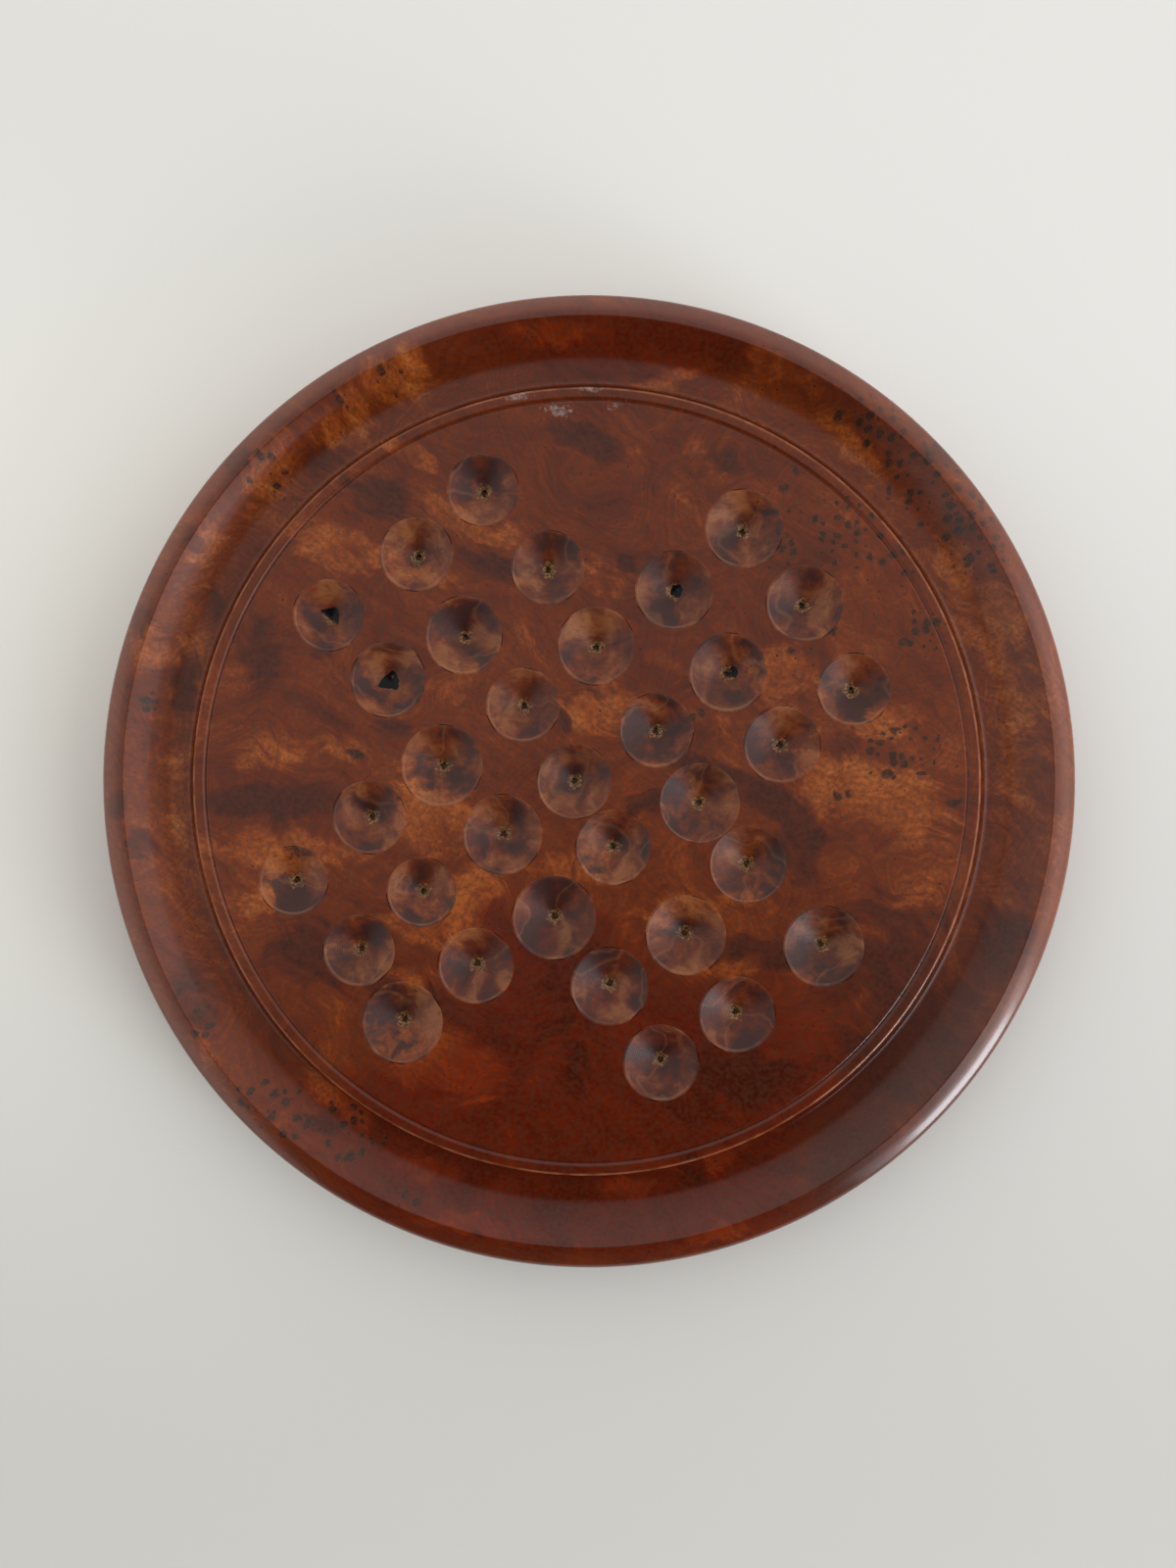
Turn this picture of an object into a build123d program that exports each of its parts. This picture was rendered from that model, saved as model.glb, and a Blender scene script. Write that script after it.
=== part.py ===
from build123d import *
import os
from math import hypot, radians, tan

# Marble solitaire board: a round slab of burl turned on a lathe, with a gutter for captured marbles round
# a flat playing field, and a cross of hand-drilled conical hollows in the field.
# Millimetres, +Z up. The origin is the middle of the face that the board rests on.

# Layout of the playing field
PITCH = 23.75           # from one hollow to the next along a row
ROW_ANGLE = 36.5        # degrees from +X to the rows of the cross
CROSS_OFFSET = (-2.5, 0.5)  # middle of the cross, off the turning axis
ARM_REACH = 3           # hollows from the middle of the cross to the end of an arm
ARM_HALF_WIDTH = 1      # hollows from the middle line of an arm to its side
MOUTH = 18.5            # usual width of a hollow at the field
HOLLOW_ANGLE = 130.0    # included angle of the drill's point, in degrees
FIELD_MARGIN = 11.8     # field outside the corner hollows

# Rings turned outside the field, from the field outwards
GROOVE_WIDTH = 1.2
GROOVE_DEPTH = 0.5
LAND_WIDTH = 2.5        # flat band between the groove and the gutter
GUTTER_WIDTH = 17.5     # from the step at the land to the crest of the rim
EDGE_WIDTH = 8.1        # from the crest to the widest part of the edge

# Heights above the face that the board rests on
BAIZE_THICKNESS = 1.6   # the wood starts on top of it
GUTTER_FLOOR = 14.0
WIDEST_HEIGHT = 10.3
SHOULDER_HEIGHT = 18.2
FIELD_HEIGHT = 18.3
CREST_HEIGHT = 20.0

# Details of the section
WALL_DRAFT = 1.2        # lean of the gutter's inner wall
FLOOR_WIDTH = 7.0       # level floor of the gutter, from the foot of that wall
COVE_RISE = 2.0         # rounded foot of the gutter's outer wall, below a straight slope of 45 degrees
SHOULDER_WIDTH = 4.3    # straight slope of the rim outside the crest, before the edge rounds over
FOOT_INSET = 7.5        # edge of the underside, in from the widest part
BAIZE_INSET = 4.0       # edge of the baize, in from the edge of the underside

# For each hollow of a row: how far the drill strayed along and across the row, and the mouth that it left
HOLLOWS = {
    3: [(-1.5, -0.5, 17.5), (2.0, -1.5, 18.0), (1.5, 1.5, 17.5)],
    2: [(1.0, 1.0, 18.5), (-0.5, -1.5, 19.0), (3.0, -0.5, 18.0)],
    1: [
        (-1.5, -2.0, 17.0), (0.0, -0.5, 18.0), (-1.0, -1.0, 20.0), (1.0, -1.0, 18.0),
        (1.0, 0.0, 19.0), (1.5, -0.5, 19.0), (1.0, 1.5, 19.0),
    ],
    0: [
        (1.5, -2.5, 17.5), (-0.5, 0.0, 17.0), (1.0, -0.5, 19.5), (0.0, -0.5, 18.5),
        (0.5, -2.5, 18.0), (0.0, -1.5, 19.0), (2.0, 1.0, 18.5),
    ],
    -1: [
        (-0.5, 0.0, 20.0), (-0.5, 0.5, 18.5), (-1.0, -1.5, 20.5), (-2.0, 4.0, 18.5),
        (-1.5, 0.0, 20.0), (0.0, -0.5, 18.5), (-1.0, 0.0, 17.5),
    ],
    -2: [(0.0, 0.0, 19.0), (-0.5, -1.0, 19.5), (-1.0, 4.0, 19.0)],
    -3: [(-1.0, 0.5, 18.5), (-2.0, -1.0, 18.5), (2.0, 0.0, 19.5)],
}

# Voids in the burl that open into a hollow and are stopped with black filler. For each: column and row
# of the hollow, and the corners of the void round the hollow's middle.
FILLER_DEPTH = 4.0      # below the point of the hollow
FILLED_VOIDS = {
    "filler_plug_1": ((-1, 3), [(-3.2, 1.6), (0.4, 2.6), (1.8, 2.4), (2.4, 0.2), (2.0, -2.2), (0.4, -0.8)]),
    "filler_plug_2": ((-1, 2), [(0.2, 3.0), (1.6, 2.2), (2.3, -0.2), (2.6, -3.0), (0.2, -2.2), (-4.2, -1.6)]),
    "filler_plug_3": ((2, 1), [(-0.4, 1.8), (1.8, 2.2), (2.6, 1.0), (1.8, -0.8), (0.8, -1.6), (-0.4, 0.0)]),
    "filler_plug_4": ((2, 0), [(0.2, 1.2), (1.4, 2.0), (2.8, 1.4), (3.2, 0.0), (2.2, -1.2), (0.6, -1.0)]),
}

corner_reach = hypot(ARM_REACH, ARM_HALF_WIDTH) * PITCH + MOUTH / 2
field_radius = corner_reach + FIELD_MARGIN
land_inner = field_radius + GROOVE_WIDTH
step_radius = land_inner + LAND_WIDTH
crest_radius = step_radius + GUTTER_WIDTH
board_radius = crest_radius + EDGE_WIDTH
foot_radius = board_radius - FOOT_INSET
baize_radius = foot_radius - BAIZE_INSET


def slab_section():
    """Half section of the turned slab, before the hollows are drilled."""
    crest = (crest_radius, CREST_HEIGHT)
    widest = (board_radius, WIDEST_HEIGHT)
    shoulder = (crest_radius + SHOULDER_WIDTH, SHOULDER_HEIGHT)
    wall_foot = (step_radius + WALL_DRAFT, GUTTER_FLOOR)
    cove_foot = (wall_foot[0] + FLOOR_WIDTH, GUTTER_FLOOR)
    cove_top = GUTTER_FLOOR + COVE_RISE
    lip_foot = (crest_radius - (CREST_HEIGHT - cove_top), cove_top)
    with BuildSketch() as section:
        with BuildLine():
            Polyline((0, FIELD_HEIGHT), (0, BAIZE_THICKNESS), (foot_radius, BAIZE_THICKNESS), widest)
            TangentArc(widest, shoulder, tangent=(0, 1))
            Line(shoulder, crest)
            TangentArc(cove_foot, lip_foot, tangent=(1, 0))
            Line(lip_foot, crest)
            Polyline(
                cove_foot,
                wall_foot,
                (step_radius, FIELD_HEIGHT),
                (land_inner, FIELD_HEIGHT),
                (land_inner - GROOVE_WIDTH / 2, FIELD_HEIGHT - GROOVE_DEPTH),
                (field_radius, FIELD_HEIGHT),
                (0, FIELD_HEIGHT),
            )
        make_face()
    return section.sketch


def turned_slab():
    return revolve(Plane.XZ * slab_section(), Axis.Z)


def hollow_depth(mouth):
    return mouth / 2 / tan(radians(HOLLOW_ANGLE / 2))


def drill_point(mouth):
    """What the drill removes below the field for a mouth of this width, its point down."""
    depth = hollow_depth(mouth)
    with BuildSketch() as section:
        with BuildLine():
            Polyline((0, -depth), (mouth / 2, 0), (0, 0), (0, -depth))
        make_face()
    return revolve(Plane.XZ * section.sketch, Axis.Z)


def hollow_places():
    """Column and row, place in the field and mouth of every hollow."""
    cross = Pos(*CROSS_OFFSET, FIELD_HEIGHT) * Rot(0, 0, ROW_ANGLE)
    for row, hollows in HOLLOWS.items():
        first = -(len(hollows) // 2)
        for column, (along, across, mouth) in enumerate(hollows, first):
            yield (column, row), cross * Pos(column * PITCH + along, row * PITCH + across), mouth


def filled_void(corners, place, mouth):
    """The void under a hollow, up to the field."""
    depth = hollow_depth(mouth) + FILLER_DEPTH
    outline = make_face(Polyline(*corners, close=True))
    middle = place.position
    return Pos(middle.X, middle.Y, FIELD_HEIGHT - depth) * extrude(outline, depth)


drilled = {site: (place, mouth) for site, place, mouth in hollow_places()}
points = {site: place * drill_point(mouth) for site, (place, mouth) in drilled.items()}
voids = {name: filled_void(corners, *drilled[site]) for name, (site, corners) in FILLED_VOIDS.items()}

parts = {
    "board": turned_slab() - list(points.values()) - list(voids.values()),
    "base_baize": Pos(0, 0, BAIZE_THICKNESS / 2) * Cylinder(baize_radius, BAIZE_THICKNESS),
}
for name, (site, _) in FILLED_VOIDS.items():
    parts[name] = voids[name] - points[site]

os.makedirs("parts", exist_ok=True)
for name, part in parts.items():
    export_step(part, f"parts/{name}.step")
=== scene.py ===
from math import atan2, ceil, cos, hypot, pi, radians, sin, tan

import bpy
import numpy as np
from mathutils import Matrix, Vector
from mathutils.geometry import delaunay_2d_cdt


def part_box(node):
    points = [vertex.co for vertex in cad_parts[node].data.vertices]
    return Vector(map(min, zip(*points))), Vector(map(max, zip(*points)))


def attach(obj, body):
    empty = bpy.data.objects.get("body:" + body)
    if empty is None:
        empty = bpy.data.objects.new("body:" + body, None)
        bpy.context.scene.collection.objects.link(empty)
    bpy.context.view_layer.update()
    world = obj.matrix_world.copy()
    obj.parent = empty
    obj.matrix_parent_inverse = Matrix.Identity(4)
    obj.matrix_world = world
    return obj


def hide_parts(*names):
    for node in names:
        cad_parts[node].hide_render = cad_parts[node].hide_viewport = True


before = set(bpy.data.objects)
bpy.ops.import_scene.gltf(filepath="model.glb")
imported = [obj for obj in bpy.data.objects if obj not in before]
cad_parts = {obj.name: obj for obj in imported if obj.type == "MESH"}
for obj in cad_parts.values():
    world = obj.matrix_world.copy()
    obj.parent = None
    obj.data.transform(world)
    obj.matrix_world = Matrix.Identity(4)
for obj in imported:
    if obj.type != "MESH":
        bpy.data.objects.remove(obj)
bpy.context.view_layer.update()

# Marble solitaire board of turned burl. Lengths are millimetres here and metres in Blender.
MM = 0.001

# ---------------------------------------------------------------- sizes
# These come from the parts in model.glb
_, board_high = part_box("board")
_, baize_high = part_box("base_baize")
BOARD_RADIUS = board_high.x / MM
CREST_HEIGHT = board_high.z / MM
BAIZE_RADIUS = baize_high.x / MM
BAIZE_TOP = baize_high.z / MM

# and these are the source's own
PITCH = 23.75
ROW_ANGLE = 36.5
CROSS_OFFSET = (-2.5, 0.5)
HOLLOW_ANGLE = 130.0
GROOVE_WIDTH = 1.2
GROOVE_DEPTH = 0.5
LAND_WIDTH = 2.5
GUTTER_WIDTH = 17.5
EDGE_WIDTH = 8.1
FOOT_INSET = 7.5
GUTTER_FLOOR = 14.0
WALL_DRAFT = 1.2
WIDEST_HEIGHT = 10.3
FIELD_HEIGHT = 18.3

CREST_RADIUS = BOARD_RADIUS - EDGE_WIDTH
STEP_RADIUS = CREST_RADIUS - GUTTER_WIDTH
LAND_INNER = STEP_RADIUS - LAND_WIDTH
FIELD_RADIUS = LAND_INNER - GROOVE_WIDTH
FOOT_RADIUS = BOARD_RADIUS - FOOT_INSET
WALL_LEAN = radians(90 - HOLLOW_ANGLE / 2)
WALL_SLOPE = tan(WALL_LEAN)

# For each hollow of a row: stray along and across the row, and mouth
HOLLOWS = {
    3: [(-1.5, -0.5, 17.5), (2.0, -1.5, 18.0), (1.5, 1.5, 17.5)],
    2: [(1.0, 1.0, 18.5), (-0.5, -1.5, 19.0), (3.0, -0.5, 18.0)],
    1: [
        (-1.5, -2.0, 17.0), (0.0, -0.5, 18.0), (-1.0, -1.0, 20.0), (1.0, -1.0, 18.0),
        (1.0, 0.0, 19.0), (1.5, -0.5, 19.0), (1.0, 1.5, 19.0),
    ],
    0: [
        (1.5, -2.5, 17.5), (-0.5, 0.0, 17.0), (1.0, -0.5, 19.5), (0.0, -0.5, 18.5),
        (0.5, -2.5, 18.0), (0.0, -1.5, 19.0), (2.0, 1.0, 18.5),
    ],
    -1: [
        (-0.5, 0.0, 20.0), (-0.5, 0.5, 18.5), (-1.0, -1.5, 20.5), (-2.0, 4.0, 18.5),
        (-1.5, 0.0, 20.0), (0.0, -0.5, 18.5), (-1.0, 0.0, 17.5),
    ],
    -2: [(0.0, 0.0, 19.0), (-0.5, -1.0, 19.5), (-1.0, 4.0, 19.0)],
    -3: [(-1.0, 0.5, 18.5), (-2.0, -1.0, 18.5), (2.0, 0.0, 19.5)],
}

# Black filler: column and row of the hollow, and the corners of the void round the hollow's middle
FILLED_VOIDS = {
    "filler_plug_1": ((-1, 3), [
        (-3.2, 1.6), (0.4, 2.6), (1.8, 2.4), (2.4, 0.2), (2.0, -2.2), (0.4, -0.8),
    ]),
    "filler_plug_2": ((-1, 2), [
        (0.2, 3.0), (1.6, 2.2), (2.3, -0.2), (2.6, -3.0), (0.2, -2.2), (-4.2, -1.6),
    ]),
    "filler_plug_3": ((2, 1), [
        (-0.4, 1.8), (1.8, 2.2), (2.6, 1.0), (1.8, -0.8), (0.8, -1.6), (-0.4, 0.0),
    ]),
    "filler_plug_4": ((2, 0), [
        (0.2, 1.2), (1.4, 2.0), (2.8, 1.4), (3.2, 0.0), (2.2, -1.2), (0.6, -1.0),
    ]),
}

# Details that the solids leave out
RING_SEGMENTS = 360
EASE_STEP = radians(11)     # the most that one face of a rounding turns
COVE_FOOT = (8.6, 0.0)      # where the gutter's floor ends: in from the crest and above the floor
COVE_TOP = (4.6, 2.0)       # where the slope up to the crest starts
SHOULDER = (3.5, 1.2)       # first bend of the rim: out from the crest and below it
EDGE_BEND = (1.7, 2.95)     # second bend: in from the widest part and below the crest
UNDERSIDE_BORDER = 30.0     # from the foot to the fan that closes the underside

HOLLOW_SEGMENTS = 56
LIP_EASE = 0.30
LIP_BORDER = 0.15           # flat field outside an eased lip
WEB_FOR_LIP = 1.2           # a narrower web between two hollows gets narrower lips
WALL_RADII = (1.1, 1.35, 1.65, 2.0, 2.5, 3.4, 5.0, 6.8)
PILOT_RADIUS = 0.70
PILOT_DEPTH = 1.1           # below the point of the hollow
OUT_OF_ROUND = (0.05, 0.035)    # how far a hollow is oval, and three-cornered
ROUND_WITHIN = 4.0          # a hollow is less out of round inside this radius
TORN_RADIUS = 2.0           # the wood is torn round the pilot hole out to here
TORN_MOST_AT = 1.0          # radius where it is torn most
TORN_SIDEWAYS = 0.32
TORN_UP = 0.22
INSIDE_MOUTH = 0.985        # share of a mouth's radius within which the field has no faces
FAR_FROM_BORE = 99.0        # a vertex outside the hollows; in one, "bore" is how far out it is

FILLER_SEGMENTS = 64
FILLER_RINGS = (0.25, 0.5, 0.72, 0.88, 0.96, 1.0)   # shares of the way to the outline
FILLER_WAVES = ((5, 0.05), (9, 0.04))   # how many round the outline, and their share of its reach
FILLER_CROWN = 0.10         # from the outline up to the middle, beside what the wall rises
FILLER_SUNK = 0.05          # outline below the hollow's wall
FILLER_SKIRT = 0.8
FILLER_THICKNESS = 1.0
POINT_ROUNDING = 0.5        # radius within which the filler doesn't follow the hollow's point

BAIZE_SEGMENTS = 240
BAIZE_BORDER = 12.0         # from the edge to the fans that close the disc
BAIZE_FRAY = 0.12
BAIZE_UNDERSIDE = -0.0005   # a hair past the floor, so that the two aren't in one plane

rng = np.random.default_rng(7)


# ---------------------------------------------------------------- outlines with eased corners
def eased(corners):
    """Points and normals along an outline whose corners are rounded. A corner is (radius, height,
    ease), where ease is how far from the corner the rounding starts. The solid lies to the right
    of the way along it."""
    points = []
    last = len(corners) - 1
    for i, (r, z, ease) in enumerate(corners):
        here = np.array((r, z))
        before = np.array(corners[i - 1][:2]) if i else None
        after = np.array(corners[i + 1][:2]) if i < last else None
        way_in = unit(here - before) if i else unit(after - here)
        way_out = unit(after - here) if i < last else way_in
        normal_in = np.array((-way_in[1], way_in[0]))
        if not 0 < i < last:
            points.append((here, normal_in))
            continue
        turn = atan2(way_in[0] * way_out[1] - way_in[1] * way_out[0], way_in @ way_out)
        radius = ease / tan(abs(turn) / 2)
        bulge = -1 if turn > 0 else 1
        start = here - way_in * ease
        middle = start - bulge * radius * normal_in
        steps = max(2, ceil(abs(turn) / EASE_STEP))
        for k in range(steps + 1):
            a = turn * k / steps
            normal = np.array((
                normal_in[0] * cos(a) - normal_in[1] * sin(a),
                normal_in[0] * sin(a) + normal_in[1] * cos(a),
            ))
            points.append((middle + bulge * radius * normal, normal))
    return points


def unit(v):
    return v / np.linalg.norm(v)


def ring_directions(count):
    a = np.linspace(0, 2 * pi, count, endpoint=False)
    return np.stack([np.cos(a), np.sin(a)], -1)


class Builder:
    """Gathers vertices with their own normals, and faces with their material."""

    def __init__(self):
        self.verts = []
        self.normals = []
        self.bores = []
        self.faces = []
        self.slots = []
        self.count = 0

    def add(self, verts, normals, bores):
        first = self.count
        self.verts.append(verts)
        self.normals.append(normals)
        self.bores.append(bores)
        self.count += len(verts)
        return np.arange(first, self.count)

    def ring(self, point, normal, directions, middle=(0, 0), bore=FAR_FROM_BORE):
        xy = np.array(middle) + directions * point[0]
        verts = np.column_stack([xy, np.full(len(xy), point[1])])
        normals = np.column_stack([directions * normal[0], np.full(len(xy), normal[1])])
        return self.add(verts, normals, np.full(len(xy), bore))

    def centre(self, place, up, bore=FAR_FROM_BORE):
        """The one vertex in the middle of a fan, which faces up (1.0) or down (-1.0)."""
        return self.add(np.array([place]), np.array([[0, 0, up]]), np.array([bore]))[0]

    def bridge(self, inner, outer, slot=0):
        """Quads between two rings, the inner one first, seen from outside the solid."""
        inner_next = np.roll(inner, -1)
        outer_next = np.roll(outer, -1)
        for quad in zip(inner, outer, outer_next, inner_next):
            self.faces.append(tuple(int(i) for i in quad))
            self.slots.append(slot)

    def fan(self, ring, centre, slot=0, flip=False):
        """Triangles from a ring to its centre, seen from above or, flipped, from below."""
        following = np.roll(ring, -1)
        for a, b in zip(ring, following):
            face = (int(b), int(a), int(centre)) if flip else (int(a), int(b), int(centre))
            self.faces.append(face)
            self.slots.append(slot)

    def mesh(self, name, materials):
        data = bpy.data.meshes.new(name)
        verts = np.concatenate(self.verts)
        data.from_pydata((verts * MM).tolist(), [], self.faces)
        for material in materials:
            data.materials.append(material)
        data.polygons.foreach_set("material_index", self.slots)
        data.polygons.foreach_set("use_smooth", [True] * len(self.faces))
        data.attributes.new("bore", "FLOAT", "POINT").data.foreach_set(
            "value", np.concatenate(self.bores).astype(np.float32)
        )
        data.validate()
        data.normals_split_custom_set_from_vertices(np.concatenate(self.normals).tolist())
        piece = bpy.data.objects.new(name, data)
        bpy.context.collection.objects.link(piece)
        return piece


# ---------------------------------------------------------------- the turned slab
def hollow_depth(mouth):
    return mouth / 2 / tan(radians(HOLLOW_ANGLE / 2))


def hollow_places():
    """Column and row, middle and mouth of every hollow."""
    turn = Matrix.Rotation(radians(ROW_ANGLE), 2)
    for row, hollows in HOLLOWS.items():
        first = -(len(hollows) // 2)
        for column, (along, across, mouth) in enumerate(hollows, first):
            place = Vector((column * PITCH + along, row * PITCH + across))
            yield (column, row), np.array(turn @ place + Vector(CROSS_OFFSET)), mouth


def rim_outline():
    """From just inside the groove over the rim to the underside."""
    return eased([
        (FIELD_RADIUS - 1.0, FIELD_HEIGHT, 0),
        (FIELD_RADIUS, FIELD_HEIGHT, 0.22),
        ((FIELD_RADIUS + LAND_INNER) / 2, FIELD_HEIGHT - GROOVE_DEPTH, 0.18),
        (LAND_INNER, FIELD_HEIGHT, 0.22),
        (STEP_RADIUS, FIELD_HEIGHT, 0.75),
        (STEP_RADIUS + WALL_DRAFT, GUTTER_FLOOR, 2.2),
        (CREST_RADIUS - COVE_FOOT[0], GUTTER_FLOOR + COVE_FOOT[1], 1.9),
        (CREST_RADIUS - COVE_TOP[0], GUTTER_FLOOR + COVE_TOP[1], 2.4),
        (CREST_RADIUS, CREST_HEIGHT, 0.32),
        (CREST_RADIUS + SHOULDER[0], CREST_HEIGHT - SHOULDER[1], 1.6),
        (BOARD_RADIUS - EDGE_BEND[0], CREST_HEIGHT - EDGE_BEND[1], 1.5),
        (BOARD_RADIUS, WIDEST_HEIGHT, 0.6),
        (FOOT_RADIUS, BAIZE_TOP, 0.5),
        (FOOT_RADIUS - UNDERSIDE_BORDER, BAIZE_TOP, 0),
    ])


def add_rim(builder):
    """The lathe-turned part, and the ring where the field starts."""
    directions = ring_directions(RING_SEGMENTS)
    rings = [builder.ring(p, n, directions) for p, n in rim_outline()]
    for inner, outer in zip(rings, rings[1:]):
        builder.bridge(inner, outer)
    builder.fan(rings[-1], builder.centre((0, 0, BAIZE_TOP), -1.0), flip=True)
    return rings[0]


def room_round(place, mouth):
    """How much of its eased lip a hollow has room for beside its nearest neighbour, at most 1."""
    webs = [
        np.linalg.norm(place - other) - (mouth + width) / 2 for _, other, width in hollow_places()
    ]
    to_others = [web for web in webs if web > -mouth / 2]
    return min(1.0, min(to_others) / WEB_FOR_LIP)


def hollow_outline(mouth, room):
    """From the bottom of the pilot hole out to the field."""
    point = FIELD_HEIGHT - hollow_depth(mouth)
    bottom = point - PILOT_DEPTH
    outline = eased([
        (PILOT_RADIUS * 0.3, bottom, 0),
        (PILOT_RADIUS, bottom, 0.1),
        (PILOT_RADIUS, point + PILOT_RADIUS * WALL_SLOPE, 0.12),
        (mouth / 2, FIELD_HEIGHT, LIP_EASE * room),
        (mouth / 2 + (LIP_EASE + LIP_BORDER) * room, FIELD_HEIGHT, 0),
    ])
    wall_normal = np.array((-sin(WALL_LEAN), cos(WALL_LEAN)))
    wall = [(np.array((r, point + r * WALL_SLOPE)), wall_normal) for r in WALL_RADII]
    lip_at = next(i for i, (p, _) in enumerate(outline) if p[0] > WALL_RADII[0])
    return outline[:lip_at] + wall + outline[lip_at:]


def add_hollow(builder, middle, mouth):
    """One drilled hollow. Returns its outer ring, on the field."""
    directions = ring_directions(HOLLOW_SEGMENTS)
    angles = np.linspace(0, 2 * pi, HOLLOW_SEGMENTS, endpoint=False)
    oval_phase, corner_phase, _, _ = rng.uniform(0, 2 * pi, 4)
    room = room_round(middle, mouth)
    oval, corners = OUT_OF_ROUND
    wobble = room * (
        oval * np.sin(2 * angles + oval_phase) + corners * np.sin(3 * angles + corner_phase)
    )
    tear = rng.normal(0, 1, HOLLOW_SEGMENTS)
    tear = np.convolve(np.concatenate([tear[-3:], tear, tear[:3]]), np.ones(4) / 4, "same")[3:-3]
    rings = []
    for point, normal in hollow_outline(mouth, room):
        r = point[0]
        ids = builder.ring(point, normal, directions, middle, bore=r)
        verts = builder.verts[-1]
        out = wobble * min(1.0, r / ROUND_WITHIN)
        if r < TORN_RADIUS:
            near = 1 - abs(r - TORN_MOST_AT)
            out = out + max(near, 0.2) * TORN_SIDEWAYS * tear
            splinters = np.roll(tear, 7) + rng.normal(0, 0.35, HOLLOW_SEGMENTS) - 0.5
            lift = TORN_UP * max(near, 0) * splinters
            verts[:, 2] += lift if point[1] > FIELD_HEIGHT - hollow_depth(mouth) else 0.5 * lift
        verts[:, :2] += directions * out[:, None]
        rings.append(ids)
    for inner, outer in zip(rings, rings[1:]):
        builder.bridge(inner, outer, slot=1)
    bottom = builder.verts[-len(rings)][:, 2].mean()
    builder.fan(rings[0], builder.centre((*middle, bottom), 1.0, bore=0.0), slot=1)
    return rings[-1]


def add_field(builder, border, mouths):
    """The flat between the groove and the mouths of the hollows."""
    verts = np.concatenate(builder.verts)
    loops = [border] + mouths
    flat = [Vector(verts[i][:2]) for loop in loops for i in loop]
    source = [int(i) for loop in loops for i in loop]
    edges = []
    first = 0
    for loop in loops:
        edges += [(first + k, first + (k + 1) % len(loop)) for k in range(len(loop))]
        first += len(loop)
    found, _, faces, origins, _, _ = delaunay_2d_cdt(flat, edges, [], 0, 1e-6)
    openings = []
    for loop in mouths:
        rim = verts[loop][:, :2]
        centre = rim.mean(0)
        openings.append((centre, np.linalg.norm(rim - centre, axis=1).min() * INSIDE_MOUTH))
    for face in faces:
        middle = np.mean([found[i] for i in face], axis=0)
        if any(hypot(*(middle - centre)) < reach for centre, reach in openings):
            continue
        builder.faces.append(tuple(source[origins[i][0]] for i in face))
        builder.slots.append(0)


def board():
    builder = Builder()
    border = add_rim(builder)
    mouths = [add_hollow(builder, middle, mouth) for _, middle, mouth in hollow_places()]
    add_field(builder, border, mouths)
    piece = builder.mesh("burl_board", [burl_polish, burl_drilled])
    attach(piece, "root")
    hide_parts("board")


# ---------------------------------------------------------------- filler and baize
def filler_reach(corners, centre, angles):
    """How far a void's outline is from its centre in each direction, with its corners softened."""
    reach = []
    for a in angles:
        way = np.array((cos(a), sin(a)))
        best = 0.0
        for p, q in zip(corners, np.roll(corners, -1, axis=0)):
            side = q - p
            cross = way[0] * side[1] - way[1] * side[0]
            if abs(cross) < 1e-9:
                continue
            gap = p - centre
            distance = (gap[0] * side[1] - gap[1] * side[0]) / cross
            share = (gap[0] * way[1] - gap[1] * way[0]) / cross
            if distance > 0 and -1e-9 <= share <= 1 + 1e-9:
                best = max(best, distance)
        reach.append(best)
    reach = np.array(reach)
    kernel = np.array((1, 3, 5, 3, 1)) / 13
    padded = np.concatenate([reach[-2:], reach, reach[:2]])
    return np.convolve(padded, kernel, "valid")


def filler(name, site, corners):
    """Black stopping along the hollow's wall, a hair proud in its middle and sunk at its outline."""
    middle, mouth = next((m, w) for s, m, w in hollow_places() if s == site)
    corners = np.array(corners)
    centre = corners.mean(0)
    angles = np.linspace(0, 2 * pi, FILLER_SEGMENTS, endpoint=False)
    directions = ring_directions(FILLER_SEGMENTS)
    reach = filler_reach(corners, centre, angles)
    (few, broad), (many, slight) = FILLER_WAVES
    waves = 1 + broad * np.sin(few * angles + 1.0) + slight * np.sin(many * angles + len(name))
    reach = reach * waves
    point = FIELD_HEIGHT - hollow_depth(mouth)
    bores = np.full(FILLER_SEGMENTS, FAR_FROM_BORE)
    builder = Builder()

    def surface(xy, share):
        out = np.hypot(xy[:, 0], xy[:, 1])
        height = point + np.hypot(out, POINT_ROUNDING) * WALL_SLOPE
        return height + FILLER_CROWN * (1 - share ** 4) - FILLER_SUNK

    rings = []
    for share in FILLER_RINGS:
        xy = centre + directions * (reach * share)[:, None]
        tilt = np.hypot(xy[:, 0], xy[:, 1])[:, None] + 0.3
        normals = np.column_stack([-WALL_SLOPE * xy / tilt, np.ones(len(xy))])
        verts = np.column_stack([xy + middle, surface(xy, share)])
        rings.append(builder.add(verts, normals, bores))
    skirt = builder.verts[-1] - np.array((0, 0, FILLER_SKIRT))
    outward = np.column_stack([directions, np.zeros(FILLER_SEGMENTS)])
    rings.append(builder.add(skirt, outward, bores))
    x, y = centre + middle
    z = surface(centre[None], 0)[0]
    top = builder.centre((x, y, z), 1.0)
    under = builder.centre((x, y, z - FILLER_THICKNESS), -1.0)
    builder.fan(rings[0], top)
    for inner, outer in zip(rings, rings[1:]):
        builder.bridge(inner, outer)
    builder.fan(rings[-1], under, flip=True)
    piece = builder.mesh(name.replace("plug", "cap"), [black_filler])
    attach(piece, "root")
    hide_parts(name)


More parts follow.
